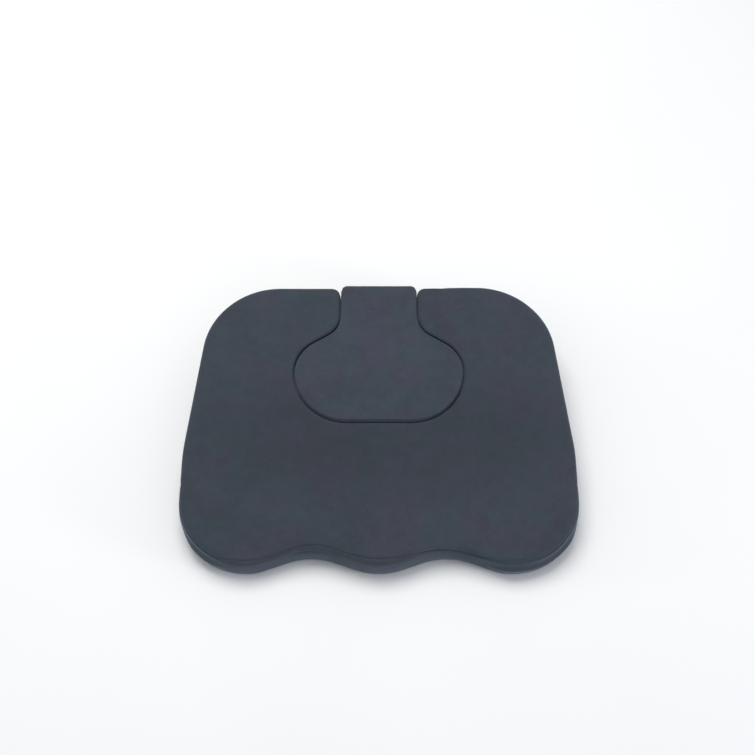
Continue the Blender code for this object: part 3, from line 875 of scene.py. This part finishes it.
def base_panel(name, outline, tape_node):
    """The underside: its turned edge, a flat field, and the cloth folded up round the zip's slit."""
    base = Shell()
    outer, *rest = turned_edge(outline)
    first = base.begin(outer)
    for ring in rest:
        base.add_ring(ring, "base")
    edge, inward = slit_outline(tape_node)
    fold = ((4.0, 0.5), (1.6, 0.5), (0.7, 0.7), (0.15, 1.25), (0.0, 2.0), (0.0, 3.6), (0.0, 5.0))
    rings = [lift(edge + inward * inset * MM, height * MM) for inset, height in fold]
    mouth = base.begin(rings[0])
    for ring in rings[1:]:
        base.add_ring(ring, "base")
    base.close(first, BASE_HEIGHT, "base", MIDDLING_GRID, facing_up=False, holes=[mouth])
    return base.panel(name, "base", np.array(base.points))


def border_strip(x, y):
    """The strip of the main cover's border that this place belongs to."""
    if y < SIDE_SEAM_Y:
        return "front"
    if abs(x) < BULB_HALF_WIDTH + MM and BULB_FRONT_Y - 2 * MM < y < SLOT_SEAM_Y:
        return "slot"
    return "left" if x < 0 else "right"


def build_main_cover(outline, cloth, weave):
    shell = cover_shell(outline, cushion_top, main_seam_along(outline), wall_hold=0.2, top_hold=0.35)
    points = rumpled(shell, swollen(shell, 2.5 * MM))
    points = pressed(points, outward(points, shell.faces), np.array(shell.above_seam))
    top = shell.panel("main_cover_top", "top", points)
    sew(top, cloth, "cushion", "cover_top_panel")
    strips = (("front", FRONT_STRIP), ("left", SIDE_STRIP), ("right", SIDE_STRIP), ("slot", SLOT_STRIP))
    for side, flat in strips:
        border = shell.panel(f"main_cover_border_{side}", "border", points, side)
        sew(border, cloth, "cushion", f"cover_border_{side}")
    base = base_panel("main_cover_base", outline, "main_zip_tape_front")
    sew(base, weave, "cushion", "cover_base_panel")


def build_insert_cover(outline, cloth, weave):
    seam_along = np.full(len(outline.points), SEAM_ALONG)
    shell = cover_shell(outline, insert_top, seam_along, wall_hold=1.0, top_hold=0.3)
    points = rumpled(shell, swollen(shell, 2.0 * MM))
    top = shell.panel("insert_cover_top", "top", points)
    sew(top, cloth, "insert", "insert_top_panel")
    border = shell.panel("insert_cover_border", "border", points)
    sew(border, cloth, "insert", "insert_border")
    base = base_panel("insert_cover_base", outline, "insert_zip_tape_front")
    sew(base, weave, "insert", "insert_base_panel")


# -------- base trim


def beads(name, places, directions, half_length, half_width, height, root_z, sides=8, tiers=2):
    """Many small domes that hang from root_z, each long along its own direction."""
    angles = np.arange(sides) * 2 * pi / sides
    points, faces = [], []
    for place, direction in zip(places, directions):
        across = np.array([-direction[1], direction[0]])
        first = len(points)
        for tier in range(tiers + 1):
            swing = pi / 2 * tier / (tiers + 0.5)
            for angle in angles:
                reach = direction * cos(angle) * half_length + across * sin(angle) * half_width
                points.append((*(place + reach * cos(swing)), root_z - height * sin(swing)))
        for tier in range(tiers):
            upper = list(range(first + tier * sides, first + (tier + 1) * sides))
            faces += strip([i + sides for i in upper], upper)
        faces.append(tuple(range(first + tiers * sides, first + (tiers + 1) * sides))[::-1])
        faces.append(tuple(range(first, first + sides)))
    return make_object(name, points, faces)


def walk(ring, pitch):
    """Evenly spaced places round a closed ring, with the direction of the ring at each."""
    steps = np.roll(ring, -1, axis=0) - ring
    lengths = np.linalg.norm(steps, axis=1)
    travelled = np.concatenate([[0], np.cumsum(lengths)])
    count = int(travelled[-1] / pitch)
    places, directions = [], []
    for distance in np.arange(count) * travelled[-1] / count:
        index = int(np.searchsorted(travelled, distance, side="right")) - 1
        direction = steps[index] / lengths[index]
        places.append(ring[index] + direction * (distance - travelled[index]))
        directions.append(direction)
    return places, directions


def build_base_trim(prefix, body, outline, rubber, sewing):
    """Grip dots in a triangular grid, and a row of stitches round the zip's slit."""
    edge, inward = slit_outline(f"{prefix}_zip_tape_front")
    spots = hex_grid(outline.ring(DOT_MARGIN), DOT_PITCH, 0, holes=[edge + inward * 7 * MM])
    ahead = [np.array([1.0, 0.0])] * len(spots)
    dots = beads(
        f"{prefix}_grip_dots", spots, ahead, DOT_RADIUS, DOT_RADIUS, DOT_HEIGHT, BASE_HEIGHT, sides=12,
    )
    places, directions = walk(edge + inward * 2.8 * MM, STITCH_PITCH)
    stitches = beads(
        f"{prefix}_zip_stitches", places, directions,
        STITCH_HALF_LENGTH, STITCH_HALF_WIDTH, 0.28 * MM, BASE_HEIGHT + 0.03 * MM,
    )
    for piece, material in ((dots, rubber), (stitches, sewing)):
        piece.data.materials.append(material)
        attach(piece, body)


# -------- foam


def foam_core(name, outline, tape_node):
    """Firm wedge with an eased lower edge, and a pocket underneath for the zip."""
    zip_y, half_length = zip_facts(tape_node)
    corners = clockwise_rectangle(half_length + POCKET_OVERRUN, POCKET_HALF_WIDTH, zip_y, 3 * MM)
    pocket, _ = sample(corners, 6 * MM)

    def ceiling(x, y):
        return comfort_base(x, y) - 0.3 * MM

    core = Shell()
    mouth = core.begin(lift(pocket, FOAM_BASE))
    roof = core.add_ring(lift(pocket, POCKET_HEIGHT), "foam")
    foot = core.begin(lift(outline.ring(FOAM_INSET + MM), FOAM_BASE))
    flat = outline.ring(FOAM_INSET)
    core.add_ring(lift(flat, FOAM_BASE + MM), "foam")
    rim = core.add_ring(lift(flat, ceiling(*flat.T)), "foam")
    core.close(rim, ceiling, "foam", COARSE_GRID, facing_up=True)
    core.close(foot, FOAM_BASE, "foam", COARSE_GRID, facing_up=False, holes=[mouth])
    core.close(roof, POCKET_HEIGHT, "foam", COARSE_GRID, facing_up=False)
    return core.panel(name, "foam", np.array(core.points))


def comfort_foam(name, outline, top):
    """Softer layer with the top's own shape and a rounded upper edge."""
    rim = outline.rim - CLOTH

    def skin(x, y):
        return top(x, y) - CLOTH - 0.4 * MM

    layer = Shell()
    flat = outline.ring(FOAM_INSET)
    foot = layer.begin(lift(flat, comfort_base(*flat.T)))
    for share in (0.0, 0.3, 0.6, 1.0):
        angle = share * pi / 2
        flat = outline.ring(FOAM_INSET + rim * (1 - cos(angle)))
        layer.add_ring(lift(flat, skin(*flat.T) - rim * (1 - sin(angle))), "foam")
    layer.close(layer.last_ring, skin, "foam", MIDDLING_GRID, facing_up=True)
    layer.close(foot, comfort_base, "foam", COARSE_GRID, facing_up=False)
    return layer.panel(name, "foam", np.array(layer.points))


def build_foams(prefix, body, outline, top, firm, soft):
    core = foam_core(f"{prefix}_foam_core", outline, f"{prefix}_zip_tape_front")
    keep(core, firm, body, f"{prefix}_foam_wedge")
    layer = comfort_foam(f"{prefix}_comfort_foam", outline, top)
    keep(layer, soft, body, f"{prefix}_memory_foam")


# -------- zips


def swept(name, sections):
    """A closed tube through sections of equal length, capped at both ends."""
    count = len(sections[0])
    points = np.concatenate(sections)
    rows = [list(range(start, start + count)) for start in range(0, len(points), count)]
    faces = [tuple(rows[0][::-1]), tuple(rows[-1])]
    for first, second in zip(rows, rows[1:]):
        faces += strip(first, second)
    return make_object(name, points, faces)


def tape_sections(zip_y, side, start, end):
    """Thin woven band with a corded inner edge, and a slight ripple towards its outer edge."""
    middle, half = (TAPE_LOW + TAPE_HIGH) / 2, (TAPE_HIGH - TAPE_LOW) / 2
    lower = [(0.0, 0.3), (0.03, 0.9), (0.08, 1.0), (0.14, 0.6), (0.5, 0.55), (0.96, 0.6), (1.0, 0.2)]
    profile = [(share, -thick) for share, thick in lower] + lower[::-1]
    if side < 0:
        profile.reverse()
    sections = []
    for x in np.linspace(start, end, int((end - start) / (3 * MM)) + 1):
        section = []
        for share, thick in profile:
            ripple = 0.06 * MM * share * sin(x / (5.3 * MM))
            y = zip_y + side * (TAPE_INNER + (TAPE_OUTER - TAPE_INNER) * share)
            section.append((x, y, middle + half * thick + ripple))
        sections.append(np.array(section))
    return sections


def coil_sections(zip_y, side, start, end):
    """Nylon filament wound into flattened loops, thicker at the heads that face the other coil."""
    filament = 0.3 * MM
    per_turn, sides = 12, 6
    across = (COIL_OUTER - COIL_INNER) / 2 - filament
    upright = (COIL_HIGH - COIL_LOW) / 2 - filament
    middle_y = zip_y + side * (COIL_OUTER + COIL_INNER) / 2
    middle_z = (COIL_HIGH + COIL_LOW) / 2
    first_x = start + filament + (COIL_PITCH / 2 if side > 0 else 0)
    turns = (end - filament - first_x) / COIL_PITCH
    sections = []
    for step in range(int(turns * per_turn) + 1):
        angle = 2 * pi * step / per_turn
        x = first_x + COIL_PITCH * step / per_turn
        centre = np.array([x, middle_y - side * across * cos(angle), middle_z + upright * sin(angle)])
        tangent = np.array([COIL_PITCH / 2 / pi, side * across * sin(angle), upright * cos(angle)])
        tangent /= np.linalg.norm(tangent)
        radial = np.array([0.0, -side * cos(angle), sin(angle)])
        radial -= tangent * radial.dot(tangent)
        radial /= np.linalg.norm(radial)
        beside = np.cross(tangent, radial)
        thick = filament * (1.0 + 0.25 * max(0.0, cos(angle)))
        angles = [2 * pi * k / sides for k in range(sides)]
        ring = [centre + filament * radial * cos(a) + thick * beside * sin(a) for a in angles]
        sections.append(np.array(ring))
    return sections


def soften(node, material, width):
    """Keeps a CAD node, with its edges eased and a proper finish."""
    obj = bpy.data.objects[node]
    obj.data.materials.clear()
    obj.data.materials.append(material)
    bevel = obj.modifiers.new("eased", "BEVEL")
    bevel.width, bevel.segments = width, 2
    bevel.limit_method, bevel.angle_limit = "ANGLE", radians(35)


def build_zip(prefix, body, tape, coil, metal):
    zip_y, _ = zip_facts(f"{prefix}_zip_tape_front")
    for label, side in (("front", -1), ("rear", 1)):
        node = f"{prefix}_zip_tape_{label}"
        low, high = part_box(node)
        band = swept(f"{prefix}_tape_{label}", tape_sections(zip_y, side, low.x, high.x))
        keep(band, tape, body, node)
        node = f"{prefix}_zip_coil_{label}"
        low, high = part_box(node)
        wound = swept(f"{prefix}_coil_{label}", coil_sections(zip_y, side, low.x, high.x))
        keep(wound, coil, body, node)
    for part in ("top_stop_front", "top_stop_rear", "bottom_stop"):
        soften(f"{prefix}_zip_{part}", metal, 0.3 * MM)
    for part in ("slider", "pull"):
        soften(f"{prefix}_zip_{part}", metal, 0.12 * MM)


# -------- label


def build_label(material):
    """Satin ribbon folded in two, with its fold at the top and its two ends sewn into the base seam."""
    half_width = (LABEL_HIGH.x - LABEL_LOW.x) / 2
    middle_x = (LABEL_HIGH.x + LABEL_LOW.x) / 2
    height = LABEL_HIGH.z - LABEL_LOW.z
    turn, top_lean = 0.45 * MM, 4.5 * MM
    rows, columns = 10, 13
    levels = [row / (rows - 1) * height for row in range(rows)]
    path = [(turn, level) for level in levels]
    path += [(turn * cos(angle), height + turn * sin(angle)) for angle in (pi / 4, pi / 2, 3 * pi / 4)]
    path += [(-turn, level) for level in reversed(levels)]
    points, faces = [], []
    for out, up in path:
        for column in range(columns):
            across = column / (columns - 1) * 2 - 1
            lean = top_lean * (up / height) ** 0.7 * (1 + 0.1 * across)
            wave = 0.25 * MM * sin(across * 4 + up / height * 3) * up / height
            y = LABEL_LOW.y + 2.0 * MM + out + lean + wave
            points.append((middle_x + across * half_width, y, LABEL_LOW.z + up))
    for row in range(len(path) - 1):
        lower = list(range(row * columns, (row + 1) * columns))
        faces += strip(lower, [i + columns for i in lower], closed=False)
    label = make_object("care_label_ribbon", points, faces)
    solid = label.modifiers.new("thickness", "SOLIDIFY")
    solid.thickness, solid.offset = 0.22 * MM, 0
    keep(label, material, "cushion", "care_label")


# -------- everything


def build_cushion():
    outline = Outline(cushion_corners())
    insert_outline = Outline(insert_corners(), CLEARANCE, all_slot=True)
    weave, rubber, sewing = base_weave(), grip_rubber(), sewing_thread()
    firm = open_foam("firm_foam_pores", (0.30, 0.32, 0.36), (0.13, 0.14, 0.16))
    soft = open_foam("memory_foam_pores", (0.78, 0.72, 0.55), (0.50, 0.44, 0.30))
    tape, coil, metal = zip_herringbone(), coil_nylon(), gunmetal()
    # The main cover's cloth carries a painted shade patch over the seat.
    build_main_cover(outline, microfibre("main_microfibre", (0.0430, 0.0500, 0.0635), 0.30), weave)
    build_insert_cover(insert_outline, microfibre("insert_microfibre", (0.0455, 0.0530, 0.0690)), weave)
    build_foams("main", "cushion", outline, cushion_top, firm, soft)
    build_foams("insert", "insert", insert_outline, insert_top, firm, soft)
    build_base_trim("main", "cushion", outline, rubber, sewing)
    build_base_trim("insert", "insert", insert_outline, rubber, sewing)
    build_zip("main", "cushion", tape, coil, metal)
    build_zip("insert", "insert", tape, coil, metal)
    build_label(label_satin())


add_camera()
add_studio()
build_cushion()
